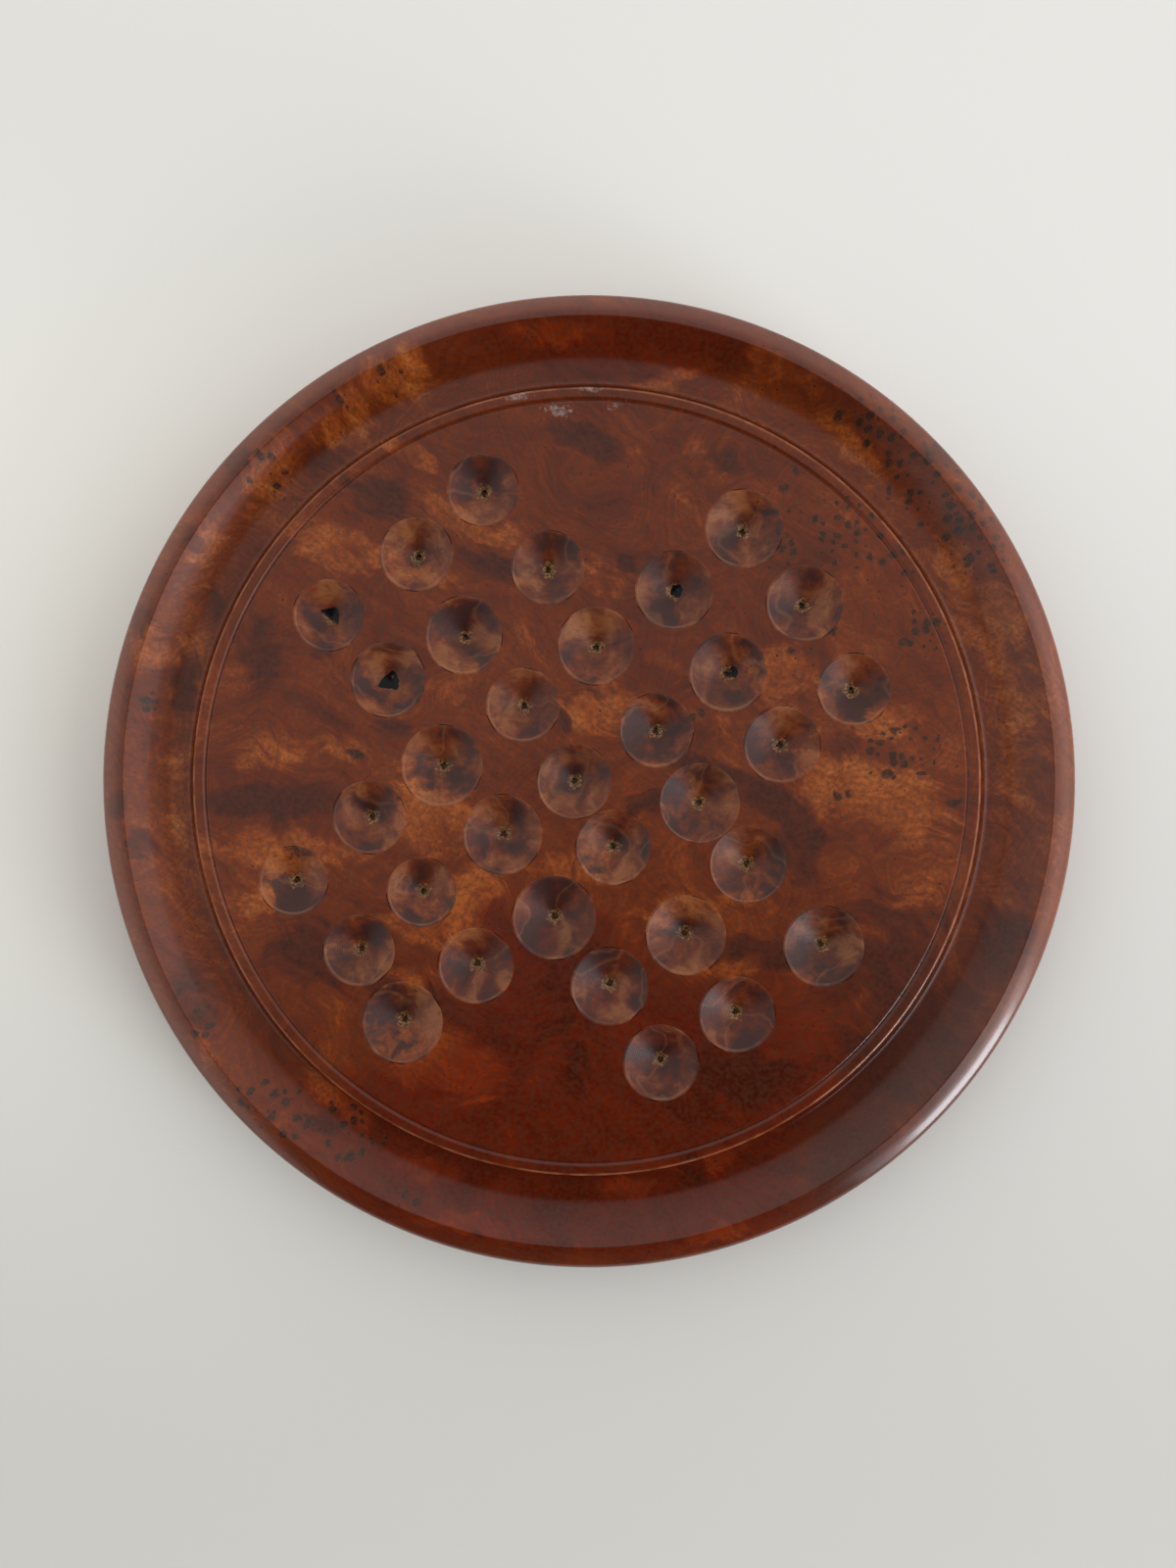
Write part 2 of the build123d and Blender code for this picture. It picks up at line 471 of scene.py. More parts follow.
def baize():
    """A disc of cloth with soft edges, frayed a little inwards."""
    outline = eased([
        (BAIZE_RADIUS - BAIZE_BORDER, BAIZE_TOP, 0),
        (BAIZE_RADIUS, BAIZE_TOP, 0.3),
        (BAIZE_RADIUS, BAIZE_UNDERSIDE, 0.6),
        (BAIZE_RADIUS - BAIZE_BORDER, BAIZE_UNDERSIDE, 0),
    ])
    builder = Builder()
    directions = ring_directions(BAIZE_SEGMENTS)
    drawn = rng.normal(0, 1, BAIZE_SEGMENTS + 2)
    fray = np.minimum(BAIZE_FRAY * np.convolve(drawn, np.ones(3) / 3, "valid"), 0)
    rings = []
    for point, normal in outline:
        rings.append(builder.ring(point, normal, directions))
        if point[0] > BAIZE_RADIUS - BAIZE_BORDER:
            builder.verts[-1][:, :2] += directions * fray[:, None]
    for inner, outer in zip(rings, rings[1:]):
        builder.bridge(inner, outer)
    top = builder.centre((0, 0, BAIZE_TOP), 1.0)
    under = builder.centre((0, 0, BAIZE_UNDERSIDE), -1.0)
    builder.fan(rings[0], top)
    builder.fan(rings[-1], under, flip=True)
    piece = builder.mesh("baize_disc", [green_baize])
    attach(piece, "root")
    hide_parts("base_baize")


# ---------------------------------------------------------------- materials
class Graph:
    """Short calls for building a node tree."""

    def __init__(self, tree):
        self.tree = tree

    def node(self, kind, settings=None, **inputs):
        node = self.tree.nodes.new(kind)
        for key, value in (settings or {}).items():
            setattr(node, key, value)
        for key, value in inputs.items():
            self.feed(node.inputs[key.replace("_", " ")], value)
        return node

    def feed(self, socket, value):
        if isinstance(value, bpy.types.NodeSocket):
            self.tree.links.new(value, socket)
        else:
            socket.default_value = value

    def math(self, operation, *values, clamp=False):
        node = self.tree.nodes.new("ShaderNodeMath")
        node.operation = operation
        node.use_clamp = clamp
        for socket, value in zip(node.inputs, values):
            self.feed(socket, value)
        return node.outputs[0]

    def vector(self, operation, *values):
        node = self.tree.nodes.new("ShaderNodeVectorMath")
        node.operation = operation
        for socket, value in zip(node.inputs, values):
            self.feed(socket, value)
        return node

    def scaled(self, value, factor):
        node = self.vector("SCALE", value)
        self.feed(node.inputs["Scale"], factor)
        return node.outputs[0]

    def apart(self, a, b):
        """How far two values are from each other, either way."""
        return self.math("ABSOLUTE", self.math("SUBTRACT", a, b))

    def swing(self, share):
        """A share that is 0.5 on average, moved to 0 on average."""
        return self.math("SUBTRACT", share, 0.5)

    def place(self):
        """Place in the object, in millimetres."""
        return self.scaled(self.node("ShaderNodeTexCoord").outputs["Object"], 1 / MM)

    def split(self, vector):
        return self.node("ShaderNodeSeparateXYZ", Vector=vector).outputs

    def plan(self, vector):
        """(x, y, 1), as spot() takes it."""
        xyz = self.split(vector)
        return self.node("ShaderNodeCombineXYZ", X=xyz["X"], Y=xyz["Y"], Z=1.0).outputs[0]

    def axis_distance(self, vector):
        flat = self.vector("MULTIPLY", vector, (1, 1, 0)).outputs[0]
        return self.vector("LENGTH", flat).outputs["Value"]

    def smooth(self, value, low, high, to_low=0.0, to_high=1.0):
        """Eased from to_low to to_high while the value goes from low to high."""
        node = self.tree.nodes.new("ShaderNodeMapRange")
        node.interpolation_type = "SMOOTHSTEP"
        for socket, v in zip(node.inputs, (value, low, high, to_low, to_high)):
            self.feed(socket, v)
        return node.outputs[0]

    def noise(self, vector, size, detail=2.0, roughness=0.5, distortion=0.0):
        """Noise whose features are about size millimetres."""
        return self.node(
            "ShaderNodeTexNoise", Vector=vector, Scale=1.0 / size, Detail=detail,
            Roughness=roughness, Distortion=distortion,
        )

    def ramp(self, value, stops):
        node = self.tree.nodes.new("ShaderNodeValToRGB")
        elements = node.color_ramp.elements
        while len(elements) < len(stops):
            elements.new(0.5)
        for element, (position, colour) in zip(elements, stops):
            element.position = position
            element.color = (*colour, 1)
        self.feed(node.inputs[0], value)
        return node.outputs[0]

    def mix(self, factor, a, b, blend="MIX"):
        node = self.tree.nodes.new("ShaderNodeMix")
        node.data_type = "RGBA"
        node.blend_type = blend
        self.feed(node.inputs[0], factor)
        for socket, value in zip((node.inputs[6], node.inputs[7]), (a, b)):     # its two colours
            self.feed(socket, value if isinstance(value, bpy.types.NodeSocket) else (*value, 1))
        return node.outputs[2]

    def surface(self, shader, colour, roughness, specular, bump):
        """Colour, gloss and, as (strength, distance in metres, height), bump of a surface."""
        self.feed(shader.inputs["Base Color"], colour)
        shader.inputs["Roughness"].default_value = roughness
        shader.inputs["Specular IOR Level"].default_value = specular
        strength, distance, height = bump
        bumped = self.node("ShaderNodeBump", Strength=strength, Distance=distance, Height=height)
        self.feed(shader.inputs["Normal"], bumped.outputs[0])

    def spot(self, plan, middle, size, turn):
        """1 in the middle of an ellipse in plan, falling to 0 at its edge. Plan is (x, y, 1), and
        size is the ellipse's half lengths."""
        c, s = cos(radians(turn)), sin(radians(turn))

        def measured(x, y):
            row = (x, y, -(x * middle[0] + y * middle[1]))
            return self.vector("DOT_PRODUCT", plan, row).outputs["Value"]

        along = measured(c / size[0], s / size[0])
        across = measured(-s / size[1], c / size[1])
        square = self.math("MULTIPLY_ADD", along, along, self.math("MULTIPLY", across, across))
        return self.math("SUBTRACT", 1.0, square, clamp=True)

    def spots(self, plan, spots):
        """Sum of ellipses, each (x, y, half length, half width, turn, strength)."""
        total = 0.0
        for x, y, length, width, turn, strength in spots:
            spot = self.spot(plan, (x, y), (length, width), turn)
            total = self.math("MULTIPLY_ADD", spot, strength, total)
        return total


# The burl's figure as seen from above, in millimetres from the turning axis:
# (x, y, half length, half width, turn in degrees, strength)
PALE_FIGURE = [
    (-51, 103, 15, 8, 15, 1.0), (-62, 92, 11, 7, 30, 0.9), (-80, 82, 13, 8, 50, 1.0),
    (-44, 84, 11, 5, -32, 0.9), (-34, 67, 15, 5, -31, 0.9), (-61, 59, 18, 8, -10, 1.1),
    (-38, 52, 12, 3.5, -14, 0.8), (-97, 60, 5, 8, -30, 0.9), (-102, 34, 11, 5, 32, 0.8),
    (-112, 34, 5, 11, -15, 0.8), (-34, 24, 8, 6, 0, 0.8), (-20, 62, 11, 5, -30, 0.8),
    (7, 52, 9, 9, 0, 0.8), (30, 82, 9, 5, -40, 0.8), (22, 103, 11, 4, 8, 0.8),
    (50, 27, 14, 12, 20, 1.0), (22, 30, 12, 3.5, -22, 0.8), (-10, 114, 16, 4, 0, 0.9),
    (50, 104, 16, 4, -27, 0.9), (66, 88, 16, 5, -48, 0.9), (93, 57, 5, 12, 32, 0.9),
    (106, 44, 5, 12, 25, 0.8), (-105, -3, 5, 17, 2, 0.8), (-83, 6, 15, 5, 8, 0.8),
    (-76, -17, 25, 7.5, -6, 1.1), (-37, -9, 13, 15, 0, 1.0), (-28, -27, 9, 6, -20, 1.0),
    (-61, 9, 8, 6, 0, 0.6), (3, 19, 11, 9, 0, 0.8), (33, 16, 7, 6, 0, 0.8),
    (-4, -22, 13, 7, 0, 0.9), (73, -4, 27, 12, -14, 1.2), (76, 15, 12, 6, 10, 0.8),
    (40, -29, 11, 3, 8, 0.7), (37, -47, 15, 4, 6, 0.8), (86, -30, 12, 5, -5, 0.6),
    (-79, -29, 12, 5, 30, 0.8), (-40, -36, 17, 8, -8, 1.1), (-44, -49, 14, 4, -10, 0.8),
    (-36, -72, 24, 11, -14, 1.1), (-98, -68, 6, 10, 35, 0.8), (-63, -83, 17, 6, -38, 0.9),
    (-40, -100, 15, 6, -22, 0.8), (-22, -114, 24, 4, -11, 0.9), (22, -32, 12, 7, 10, 0.7),
    (38, -94, 16, 5, 24, 0.9), (8, -104, 13, 5, 3, 0.7), (33, -114, 12, 3, 18, 0.9),
    (110, 6, 12, 40, 4, 0.55), (100, 40, 10, 22, 24, 0.5),
]
DARK_FIGURE = [
    (-113, 42, 5, 8, -15, 1.0), (-100, 62, 5, 6, 0, 0.8), (-88, 82, 5, 5, 0, 0.9),
    (-97, 47, 5, 8, -20, 0.7), (-67, 83, 8, 5, 30, 0.7), (-54, 74, 14, 8, -30, 0.8),
    (-84, 34, 8, 13, 10, 0.8), (-67, 33, 5, 4, 0, 1.0), (1, 86, 16, 5, -20, 1.0),
    (-24, 55, 14, 4, -18, 0.9), (36, 80, 8, 3.5, -35, 0.8), (11, 55, 3, 3, 0, 1.0),
    (-113, -16, 5, 6, 0, 1.0), (-119, -6, 4, 5, 0, 1.0), (-103, 26, 4, 14, -8, 0.7),
    (-80, -5, 21, 5.5, 3, 1.0), (-49, 14, 9, 3, -6, 0.9), (-52, -5, 12, 4, 0, 0.7),
    (16, -5, 8, 5, 0, 0.8), (28, 4, 18, 4, -12, 0.9), (50, -7, 17, 5, -34, 1.1),
    (-4, 16, 3, 8, -10, 0.8), (6, 23, 12, 3, 5, 0.7), (53, -18, 9, 8, 0, 0.9),
    (44, -43, 14, 6, -5, 1.1), (76, -46, 26, 24, 0, 0.8), (66, 9, 7, 8, 0, 0.7),
    (-70, -43, 15, 12, -10, 0.8), (-100, -52, 6, 12, 25, 0.7), (-66, -87, 5.5, 5, 0, 1.2),
    (-45, -56, 20, 8, -20, 0.6), (0, -58, 16, 26, 0, 0.6), (38, -76, 26, 12, 12, 0.8),
    (28, -99, 6, 7, 30, 1.1), (62, -98, 24, 10, 30, 0.7), (90, 84, 8, 8, 0, 0.7),
    (84, -72, 30, 12, 47, 0.8), (104, -42, 22, 9, 68, 0.6), (72, -66, 18, 10, 40, 0.4),
]
# Where the eyes crowd, and the largest single ones
EYE_CLUSTERS = [
    (-50, 103, 6, 5, 0, 1.0), (-63, 96, 4, 4, 0, 0.9), (-81, 79, 7, 10, 20, 0.9),
    (86, 76, 31, 10, -47, 1.3), (99, 58, 8, 8, 0, 0.8), (72, 60, 22, 12, -40, 0.6),
    (52, 60, 18, 12, -40, 0.6), (86, 38, 7, 9, 0, 0.6), (80, 7, 17, 9, 0, 0.6),
    (53, 31, 7, 5, 0, 0.6), (-78, -84, 15, 7, -25, 1.2), (-60, -91, 13, 8, -35, 1.1),
    (-47, -107, 10, 5, -20, 0.7), (-98, -62, 6, 6, 0, 0.8), (-113, 22, 5, 6, 0, 0.8),
    (29, 17, 4, 5, 0, 0.7),
]
LARGE_EYES = [
    (65, 92, 1.4, 1.2, 30, 1.0), (81, 35, 2.4, 1.6, 20, 1.0), (88, 40, 1.3, 1.0, 0, 1.0),
    (76, 2, 2.0, 1.4, 15, 1.0), (64.5, -3.5, 1.6, 1.1, -20, 1.0), (67, -3, 0.9, 1.1, 0, 1.0),
    (85, 1.8, 1.5, 0.9, 0, 1.0), (81, 13.8, 1.2, 0.9, 0, 1.0), (78, 13, 1.8, 0.9, 10, 0.8),
    (72.5, 8, 1.6, 1.1, 0, 0.8), (93, -5, 2.4, 1.2, 20, 0.8), (50, 74, 1.4, 1.2, 0, 1.0),
    (54, 79, 1.2, 1.2, 0, 1.0), (63, 38, 1.6, 1.2, 30, 0.9), (-58, 7, 2.6, 1.2, -20, 0.9),
    (-96, -62, 1.8, 1.5, 0, 1.0), (-73, -86, 1.6, 1.4, 0, 1.0), (-60, -96, 2.0, 1.6, 20, 1.0),
    (-112, 21, 1.6, 1.1, 0, 1.0), (30, 18, 1.2, 2.0, 20, 0.9),
]

# Where the wood is a deep, clear red
RED_FIGURE = [
    (-5, -86, 84, 24, 0, 1.2), (-4, -58, 36, 28, 0, 1.0), (0, -106, 74, 18, 0, 1.2),
    (-18, -34, 30, 12, 0, 0.4), (40, -70, 38, 26, 20, 0.8), (10, 112, 60, 12, 0, 0.8),
]

# Where the figure is slight, in dark and even wood
CALM_FIGURE = [(88, -80, 60, 26, 47, 1.0)]

# Whitish scuffs on the far side of the land
SCUFFS = [
    (-16, 98, 6, 2.0, 8, 1.0), (-6, 94, 7, 3.0, -12, 0.9), (2, 99.5, 5, 1.6, 0, 1.0),
    (8, 95, 5, 2.0, 20, 0.7),
]

BURL_STOPS = [
    (0.00, (0.012, 0.003, 0.002)),
    (0.22, (0.050, 0.0065, 0.0015)),
    (0.42, (0.110, 0.0145, 0.002)),
    (0.58, (0.170, 0.027, 0.003)),
    (0.78, (0.300, 0.066, 0.010)),
    (1.00, (0.460, 0.138, 0.030)),
]
RAW_WOOD_STOPS = [
    (0.34, (0.030, 0.010, 0.004)),
    (0.48, (0.140, 0.058, 0.020)),
    (0.66, (0.360, 0.175, 0.060)),
]
BAIZE_STOPS = [
    (0.25, (0.010, 0.050, 0.026)),
    (0.55, (0.022, 0.095, 0.050)),
    (0.85, (0.050, 0.160, 0.090)),
]
EYE_SPACING = 2.8
GRAIN_TURN = -28.0          # the grain runs this way from +X, before it curls
TURNING_PITCH = 0.55        # between the fine rings that the drill left in a hollow
LIP_HIGHLIGHT_FACES = (0.5, 0.87, 0)     # the lips get a painted highlight where they face this way, towards the light


def figure_group():
    """The burl as a solid texture, so that every cut through the slab shows the same wood."""
    tree = bpy.data.node_groups.new("burl_figure", "ShaderNodeTree")
    tree.interface.new_socket("Color", in_out="OUTPUT", socket_type="NodeSocketColor")
    tree.interface.new_socket("Height", in_out="OUTPUT", socket_type="NodeSocketFloat")
    g = Graph(tree)
    place = g.place()

    def drift(size, reach, detail):
        """A vector that wanders by up to half this reach."""
        wander = g.noise(place, size, detail).outputs["Color"]
        return g.scaled(g.vector("SUBTRACT", wander, (0.5, 0.5, 0.5)).outputs[0], reach)

    slow = drift(40.0, 46.0, 1.5)
    quick = drift(6.5, 5.5, 3.0)
    nearby = g.vector("ADD", place, quick).outputs[0]
    curled = g.vector("ADD", nearby, slow).outputs[0]
    grain = g.node("ShaderNodeMapping", {"vector_type": "POINT"}, Vector=curled)
    grain.inputs["Rotation"].default_value = (0, 0, radians(-GRAIN_TURN))

    def fibres(length, width, detail):
        """Noise drawn out along the grain, 0.5 on average."""
        drawn = g.vector("MULTIPLY", grain.outputs[0], (1 / length, 1 / width, 2 / length))
        return g.noise(drawn.outputs[0], 1.0, detail, 0.62).outputs["Fac"]

    flames = fibres(15.0, 3.2, 2.5)
    streaks = fibres(9.0, 0.75, 2.0)
    clouds = g.noise(curled, 19.0, 3.0, 0.6).outputs["Fac"]
    xyz = g.split(nearby)
    plan = g.plan(nearby)

    # Pale and dark patches, with edges that follow the grain like flames
    ragged = g.swing(flames)
    drifting = g.math("MULTIPLY", g.swing(clouds), 1.3)
    pale = g.math("ADD", g.math("ADD", g.spots(plan, PALE_FIGURE), ragged), drifting)
    pale = g.smooth(pale, 0.20, 0.85)
    dark = g.math("SUBTRACT", g.math("SUBTRACT", g.spots(plan, DARK_FIGURE), ragged), drifting)
    dark = g.smooth(dark, 0.20, 0.88)

    # Growth lines: contours of a slow noise close into rings and swirls
    bent = g.vector("ADD", place, g.scaled(quick, 0.3)).outputs[0]
    contour = g.noise(bent, 34.0, 1.5, 0.45).outputs["Fac"]
    growth = g.node(
        "ShaderNodeTexNoise", {"noise_dimensions": "1D"}, W=g.math("MULTIPLY", contour, 58.0),
        Scale=1.0, Detail=2.0, Roughness=0.65,
    ).outputs["Fac"]

    # The tone of the wood, from 0 for nearly black to 1 for straw
    # Painted light: the wood is lighter in the gutter, fading out towards the south
    gutter_painted_light = g.smooth(g.apart(g.axis_distance(nearby), STEP_RADIUS + 5.5), 8.0, 4.0)
    gutter_painted_light = g.math("MULTIPLY", gutter_painted_light, g.smooth(xyz["Y"], -90.0, -20.0))
    tone = 0.505
    for share, strength in (
        (g.swing(clouds), 0.6),
        (g.math("ABSOLUTE", xyz["X"]), 0.0005),
        (g.math("ABSOLUTE", xyz["Y"]), -0.0006),
        (gutter_painted_light, 0.085),
        (g.swing(flames), 0.34),
        (g.swing(streaks), 0.22),
        (g.swing(growth), 0.22),
        (pale, 0.23),
        (dark, -0.24),
    ):
        tone = g.math("MULTIPLY_ADD", share, strength, tone)
    colour = g.ramp(tone, BURL_STOPS)
    colour = g.mix(g.math("MULTIPLY", dark, 0.40), colour, (0.046, 0.011, 0.008))
    crease = g.noise(curled, 15.0, 2.5, 0.55).outputs["Fac"]
    crease = g.smooth(g.apart(crease, 0.5), 0.007, 0.0, 0.0, 0.40)
    colour = g.mix(crease, colour, (0.050, 0.009, 0.003))
    red = g.smooth(g.spots(plan, RED_FIGURE), 0.0, 0.9)
    colour = g.mix(red, colour, g.mix(1.0, colour, (0.80, 0.36, 0.16), "MULTIPLY"))
    colour = g.mix(g.math("MULTIPLY", red, 0.22), colour, (0.085, 0.0100, 0.0015))
    calm = g.smooth(g.spots(plan, CALM_FIGURE), 0.0, 0.8, 0.0, 0.52)
    colour = g.mix(calm, colour, (0.066, 0.016, 0.010))

    # Eyes: dark, ragged dots in a brown stain
    settled = g.vector("ADD", place, g.scaled(quick, 0.2)).outputs[0]
    cells = g.node(
        "ShaderNodeTexVoronoi", {"voronoi_dimensions": "2D"}, Vector=settled,
        Scale=1 / EYE_SPACING, Randomness=0.9,
    )
    spread = g.math("MULTIPLY", cells.outputs["Distance"], EYE_SPACING)
    rough = g.swing(g.noise(place, 1.1, 3.0).outputs["Fac"])
    spread = g.math("MULTIPLY_ADD", rough, 1.9, spread)
    crowd = g.smooth(g.spots(plan, EYE_CLUSTERS), 0.05, 0.70)
    chance = g.node("ShaderNodeSeparateColor", Color=cells.outputs["Color"]).outputs[0]
    size = g.math("MULTIPLY", g.smooth(chance, 0.15, 0.9, 0.10, 1.0), crowd)
    pupil = g.smooth(g.math("SUBTRACT", spread, g.math("MULTIPLY", size, 1.05)), 0.22, -0.22)
    stain = g.smooth(g.math("SUBTRACT", spread, g.math("MULTIPLY", size, 2.1)), 0.30, -0.80)
    large = g.math("MULTIPLY_ADD", rough, 1.2, g.spots(plan, LARGE_EYES))
    pupil = g.math("MAXIMUM", pupil, g.smooth(large, 0.20, 0.70))
    stain = g.math("MAXIMUM", stain, g.smooth(large, -0.3, 0.35))
    colour = g.mix(g.math("MULTIPLY", stain, 0.72), colour, (0.075, 0.022, 0.010))
    mottle = g.smooth(g.noise(place, 0.6, 2.0).outputs["Fac"], 0.36, 0.58, 0.40, 0.95)
    colour = g.mix(g.math("MULTIPLY", pupil, mottle), colour, (0.026, 0.011, 0.006))

    out = tree.nodes.new("NodeGroupOutput")
    g.feed(out.inputs["Color"], colour)
    g.feed(out.inputs["Height"], g.noise(place, 15.0, 1.0).outputs["Fac"])
    return tree


def new_material(name):
    material = bpy.data.materials.new(name)
    material.use_nodes = True
    shader = material.node_tree.nodes["Principled BSDF"]
    return material, Graph(material.node_tree), shader


def polished_burl():
    """Glossy all over: pale on the edge of the step, partly worn wood and partly a painted
    highlight, with painted shade in the corner below it that is stronger to the north, a painted
    sheen outside the crest that fades out to the south, and scuffed on the far side of the land."""
    material, g, shader = new_material("burl_polish")
    figure = g.node("ShaderNodeGroup", {"node_tree": burl_figure}).outputs
    place = g.place()
    north = g.split(place)["Y"]
    radius = g.axis_distance(place)
    uneven = g.noise(place, 5.0, 3.0).outputs["Fac"]
    # Pale line on the step's edge: partly worn wood, partly a painted highlight
    on_edge = g.smooth(g.apart(radius, STEP_RADIUS - 0.1), 0.65, 0.20)
    on_edge = g.math("MULTIPLY", on_edge, g.smooth(uneven, 0.30, 0.70, 0.12, 0.65))
    colour = g.mix(on_edge, figure["Color"], (0.400, 0.135, 0.062))
    # Painted shade in the corner at the foot of the step's wall, stronger to the north
    below = g.smooth(g.apart(radius, STEP_RADIUS + 1.0), 0.85, 0.25)
    below = g.math("MULTIPLY", below, g.smooth(north, -50.0, 70.0, 0.15, 0.85))
    colour = g.mix(below, colour, (0.030, 0.009, 0.004))
    # Painted sheen on the rim outside the crest, fading out towards the south
    edge = g.smooth(radius, CREST_RADIUS + 0.5, CREST_RADIUS + 3.0)
    edge = g.math("MULTIPLY", edge, g.smooth(north, -100.0, -50.0, 0.1, 1.0))
    colour = g.mix(edge, colour, (0.055, 0.026, 0.019), "ADD")
    scratches = g.noise(place, 1.3, 3.0, 0.7).outputs["Fac"]
    scuffed = g.math("MULTIPLY_ADD", scratches, 2.0, g.spots(g.plan(place), SCUFFS))
    scuffed = g.math("MULTIPLY", g.smooth(scuffed, 1.55, 2.2), 0.40)
    colour = g.mix(scuffed, colour, (0.50, 0.42, 0.38))
    g.surface(shader, colour, 0.18, 0.3, (0.05, 0.0004, figure["Height"]))
    return material


def drilled_burl():
    """Inside the hollows the drill has opened deeper figure with pale veins. The polish is thin
    and hazy, the lip has a painted highlight on the side that faces the light, and the wood round
    the pilot is torn and bare."""
    material, g, shader = new_material("burl_drilled")
    figure = g.node("ShaderNodeGroup", {"node_tree": burl_figure}).outputs
    place = g.place()
    bore = g.node("ShaderNodeAttribute", {"attribute_name": "bore"}).outputs["Fac"]
    bent = g.scaled(g.noise(place, 10.0, 2.0).outputs["Color"], 9.0)
    bent = g.vector("ADD", place, bent).outputs[0]
    deeper = g.noise(bent, 10.0, 3.5, 0.58).outputs["Fac"]
    pale = g.math("MULTIPLY", g.smooth(deeper, 0.50, 0.68), 0.55)
    dark = g.math("MULTIPLY", g.smooth(deeper, 0.53, 0.38), 0.88)
    colour = g.mix(pale, figure["Color"], (0.300, 0.105, 0.036))
    colour = g.mix(dark, colour, (0.030, 0.009, 0.008))
    vein = g.noise(bent, 22.0, 1.0).outputs["Fac"]
    vein = g.smooth(g.apart(vein, 0.5), 0.018, 0.0, 0.0, 0.16)
    colour = g.mix(vein, colour, (0.330, 0.135, 0.055))
    drawn = g.vector("MULTIPLY", bent, (0.35, 1.0, 1.0)).outputs[0]
    fine = g.noise(drawn, 0.8, 3.0, 0.65).outputs["Fac"]
    colour = g.mix(g.smooth(fine, 0.50, 0.30, 0.0, 0.45), colour, (0.034, 0.012, 0.008))
    # Painted highlight on the lip, on the side that faces the light
    lip = g.smooth(g.split(place)["Z"], FIELD_HEIGHT - 0.26, FIELD_HEIGHT - 0.12, 0.0, 0.26)
    normal = g.node("ShaderNodeNewGeometry").outputs["Normal"]
    facing = g.vector("DOT_PRODUCT", normal, LIP_HIGHLIGHT_FACES).outputs["Value"]
    lip = g.math("MULTIPLY", lip, g.smooth(facing, -0.05, 0.22, 0.15, 1.0))
    uneven = g.noise(place, 7.0).outputs["Fac"]
    lip = g.math("MULTIPLY", lip, g.smooth(uneven, 0.36, 0.60, 0.25, 1.0))
    colour = g.mix(lip, colour, (0.420, 0.190, 0.110))
    ragged = g.math("MULTIPLY_ADD", g.noise(place, 1.4, 3.0, 0.6).outputs["Fac"], 3.6, bore)
    torn = g.smooth(ragged, 4.05, 3.25, 0.0, 0.9)
    fibres = g.noise(place, 0.5, 2.0).outputs["Fac"]
    turning = g.math("SINE", g.math("MULTIPLY", bore, 2 * pi / TURNING_PITCH))
    rough = g.math("MULTIPLY_ADD", turning, 0.25, g.noise(place, 1.2, 3.0).outputs["Fac"])
    colour = g.mix(torn, colour, g.ramp(fibres, RAW_WOOD_STOPS))
    g.surface(shader, colour, 0.42, 0.32, (0.12, 0.0002, rough))
    return material


def filler_finish():
    material, g, shader = new_material("black_filler")
    grit = g.noise(g.place(), 0.5, 3.0).outputs["Fac"]
    colour = g.ramp(grit, [(0.35, (0.002, 0.002, 0.003)), (0.7, (0.007, 0.007, 0.008))])
    g.surface(shader, colour, 0.3, 0.15, (0.35, 0.0002, grit))
    return material


def baize_cloth():
    material, g, shader = new_material("green_baize")
    place = g.place()
    nap = g.noise(place, 0.6, 4.0, 0.7, 1.0).outputs["Fac"]
    wear = g.noise(place, 30.0, 2.0).outputs["Fac"]
    tone = g.math("MULTIPLY_ADD", g.swing(wear), 0.5, nap)
    shader.inputs["Sheen Weight"].default_value = 0.4
    g.surface(shader, g.ramp(tone, BAIZE_STOPS), 0.95, 0.5, (0.6, 0.0004, nap))
    return material


# ---------------------------------------------------------------- floor, light and camera
ROOM_STOPS = [(0.0, (0.02, 0.02, 0.02)), (1.0, (0.73, 0.72, 0.70))]     # behind the viewer, ahead


def floor():
    """Pale and faintly uneven, with painted light to the left of the board and painted shade towards
    the viewer.
    """
    half = 3.0
    corners = [(-half, -half, 0), (half, -half, 0), (half, half, 0), (-half, half, 0)]
    data = bpy.data.meshes.new("floor")
    data.from_pydata(corners, [], [(0, 1, 2, 3)])
    material, g, shader = new_material("pale_floor")
    place = g.node("ShaderNodeTexCoord").outputs["Object"]
    shade = g.node("ShaderNodeTexNoise", Vector=place, Scale=3.0, Detail=2.0).outputs["Fac"]
    pale = g.ramp(shade, [(0.3, (0.855, 0.840, 0.806)), (0.7, (0.883, 0.870, 0.842))])
    xyz = g.split(place)
    # Painted light on the floor to the left of the board
    painted_light_left = g.math("MULTIPLY", g.smooth(xyz["X"], -0.02, -0.12), g.smooth(xyz["Y"], 0.20, 0.05))
    pale = g.mix(painted_light_left, pale, (0.965, 0.950, 0.890))
    # Painted shade on the floor towards the viewer
    painted_shade_near = g.smooth(xyz["Y"], 0.12, -0.20)
    g.feed(shader.inputs["Base Color"], g.mix(painted_shade_near, pale, (0.660, 0.642, 0.610)))
    shader.inputs["Roughness"].default_value = 0.8
    data.materials.append(material)
    plane = bpy.data.objects.new("floor", data)
    bpy.context.collection.objects.link(plane)


def aim(obj, target):
    obj.rotation_euler = (Vector(target) - obj.location).to_track_quat("-Z", "Y").to_euler()


def panel(name, place, target, size, radiance, colour):
    """A soft panel whose face has this radiance."""
    lamp = bpy.data.lights.new(name, "AREA")
    lamp.shape = "RECTANGLE"
    lamp.size, lamp.size_y = size
    lamp.energy = radiance * pi * size[0] * size[1]
    lamp.color = colour
    obj = bpy.data.objects.new(name, lamp)
    obj.location = place
    obj.visible_camera = False
    bpy.context.collection.objects.link(obj)
    aim(obj, target)


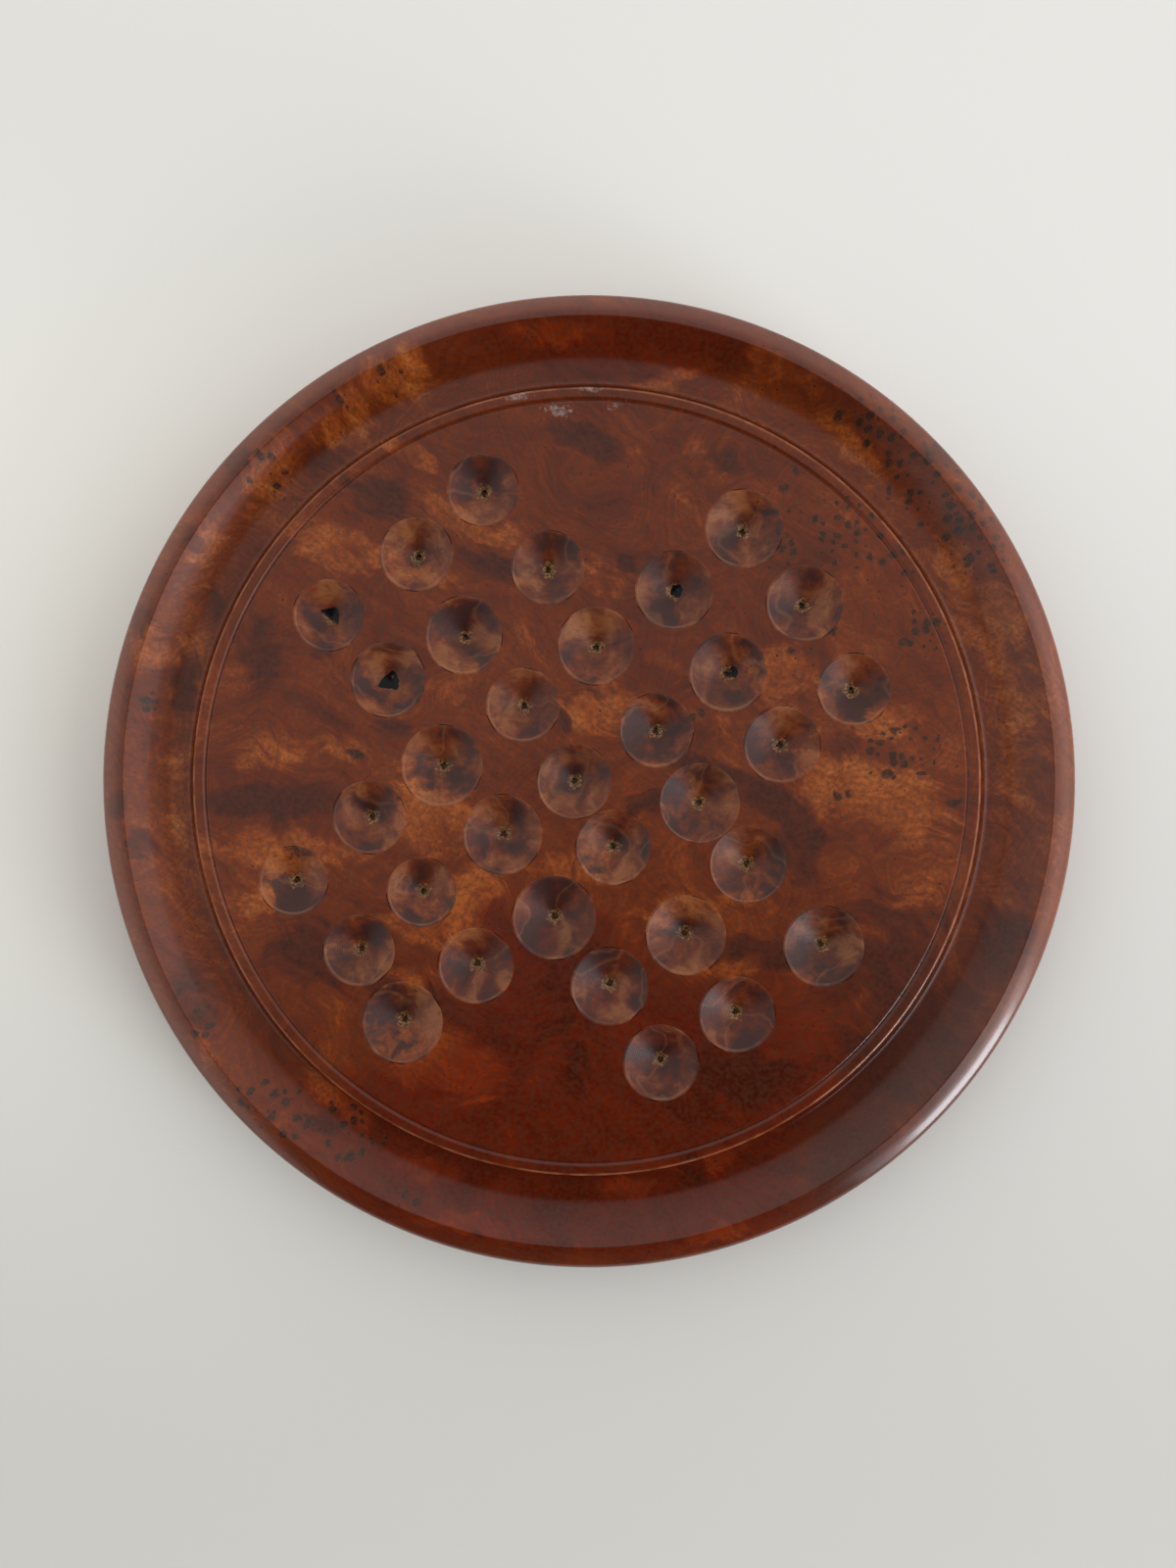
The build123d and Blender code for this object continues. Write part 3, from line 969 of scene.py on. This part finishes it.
def bank(name, azimuth, elevation, spread, radiance, colour):
    """A panel in this direction from the board. Its spread is its half angles across and up."""
    distance = 2.6
    a, e = radians(azimuth), radians(elevation)
    place = (distance * cos(a) * cos(e), distance * sin(a) * cos(e), distance * sin(e))
    size = tuple(2 * distance * tan(radians(half)) for half in spread)
    panel(name, place, (0, 0, 0), size, radiance, colour)


def lights():
    """A pale room, brighter low down and dark behind the viewer, with windows to the right."""
    bank("windows", -6, 30, (30, 19), 0.9, (0.94, 0.97, 1.0))
    bank("pane", -39, 12, (9, 7), 15.5, (0.88, 0.94, 1.0))
    bank("pane_glow", -40, 17, (16, 14), 2.5, (0.88, 0.94, 1.0))
    world = bpy.data.worlds.new("room")
    world.use_nodes = True
    g = Graph(world.node_tree)
    background = world.node_tree.nodes["Background"]
    way = g.split(g.node("ShaderNodeTexCoord").outputs["Generated"])
    width = g.math("MULTIPLY_ADD", way["Z"], -0.9, 1.35)
    ahead = g.math("MULTIPLY_ADD", g.math("ABSOLUTE", way["X"]), width, way["Y"])
    g.feed(background.inputs["Color"], g.ramp(g.smooth(ahead, -0.19, 0.13), ROOM_STOPS))
    low = g.math("SUBTRACT", 1.0, g.math("MULTIPLY", way["Z"], way["Z"]))
    g.feed(background.inputs["Strength"], g.math("MULTIPLY_ADD", low, 0.70, 1.0))
    bpy.context.scene.world = world


def camera():
    """Over the board, a little to the right of its middle and looking almost straight down."""
    place = Vector((10.0, 0.0, 316.3)) * MM
    target = Vector((1.2, -0.6, 16.0)) * MM
    data = bpy.data.cameras.new("camera")
    data.sensor_width = 36.0
    data.lens = 27.05
    data.clip_start = 0.01
    obj = bpy.data.objects.new("camera", data)
    forward = (target - place).normalized()
    right = forward.cross(Vector((0, 1, 0))).normalized()
    up = right.cross(forward)
    turn = Matrix((right, up, -forward)).transposed()
    obj.matrix_world = Matrix.Translation(place) @ turn.to_4x4()
    bpy.context.collection.objects.link(obj)
    bpy.context.scene.camera = obj


# ---------------------------------------------------------------- making
burl_figure = figure_group()
burl_polish = polished_burl()
burl_drilled = drilled_burl()
black_filler = filler_finish()
green_baize = baize_cloth()

board()
for plug, (site, corners) in FILLED_VOIDS.items():
    filler(plug, site, corners)
baize()
floor()
lights()
camera()
bpy.context.scene.view_settings.view_transform = "Standard"
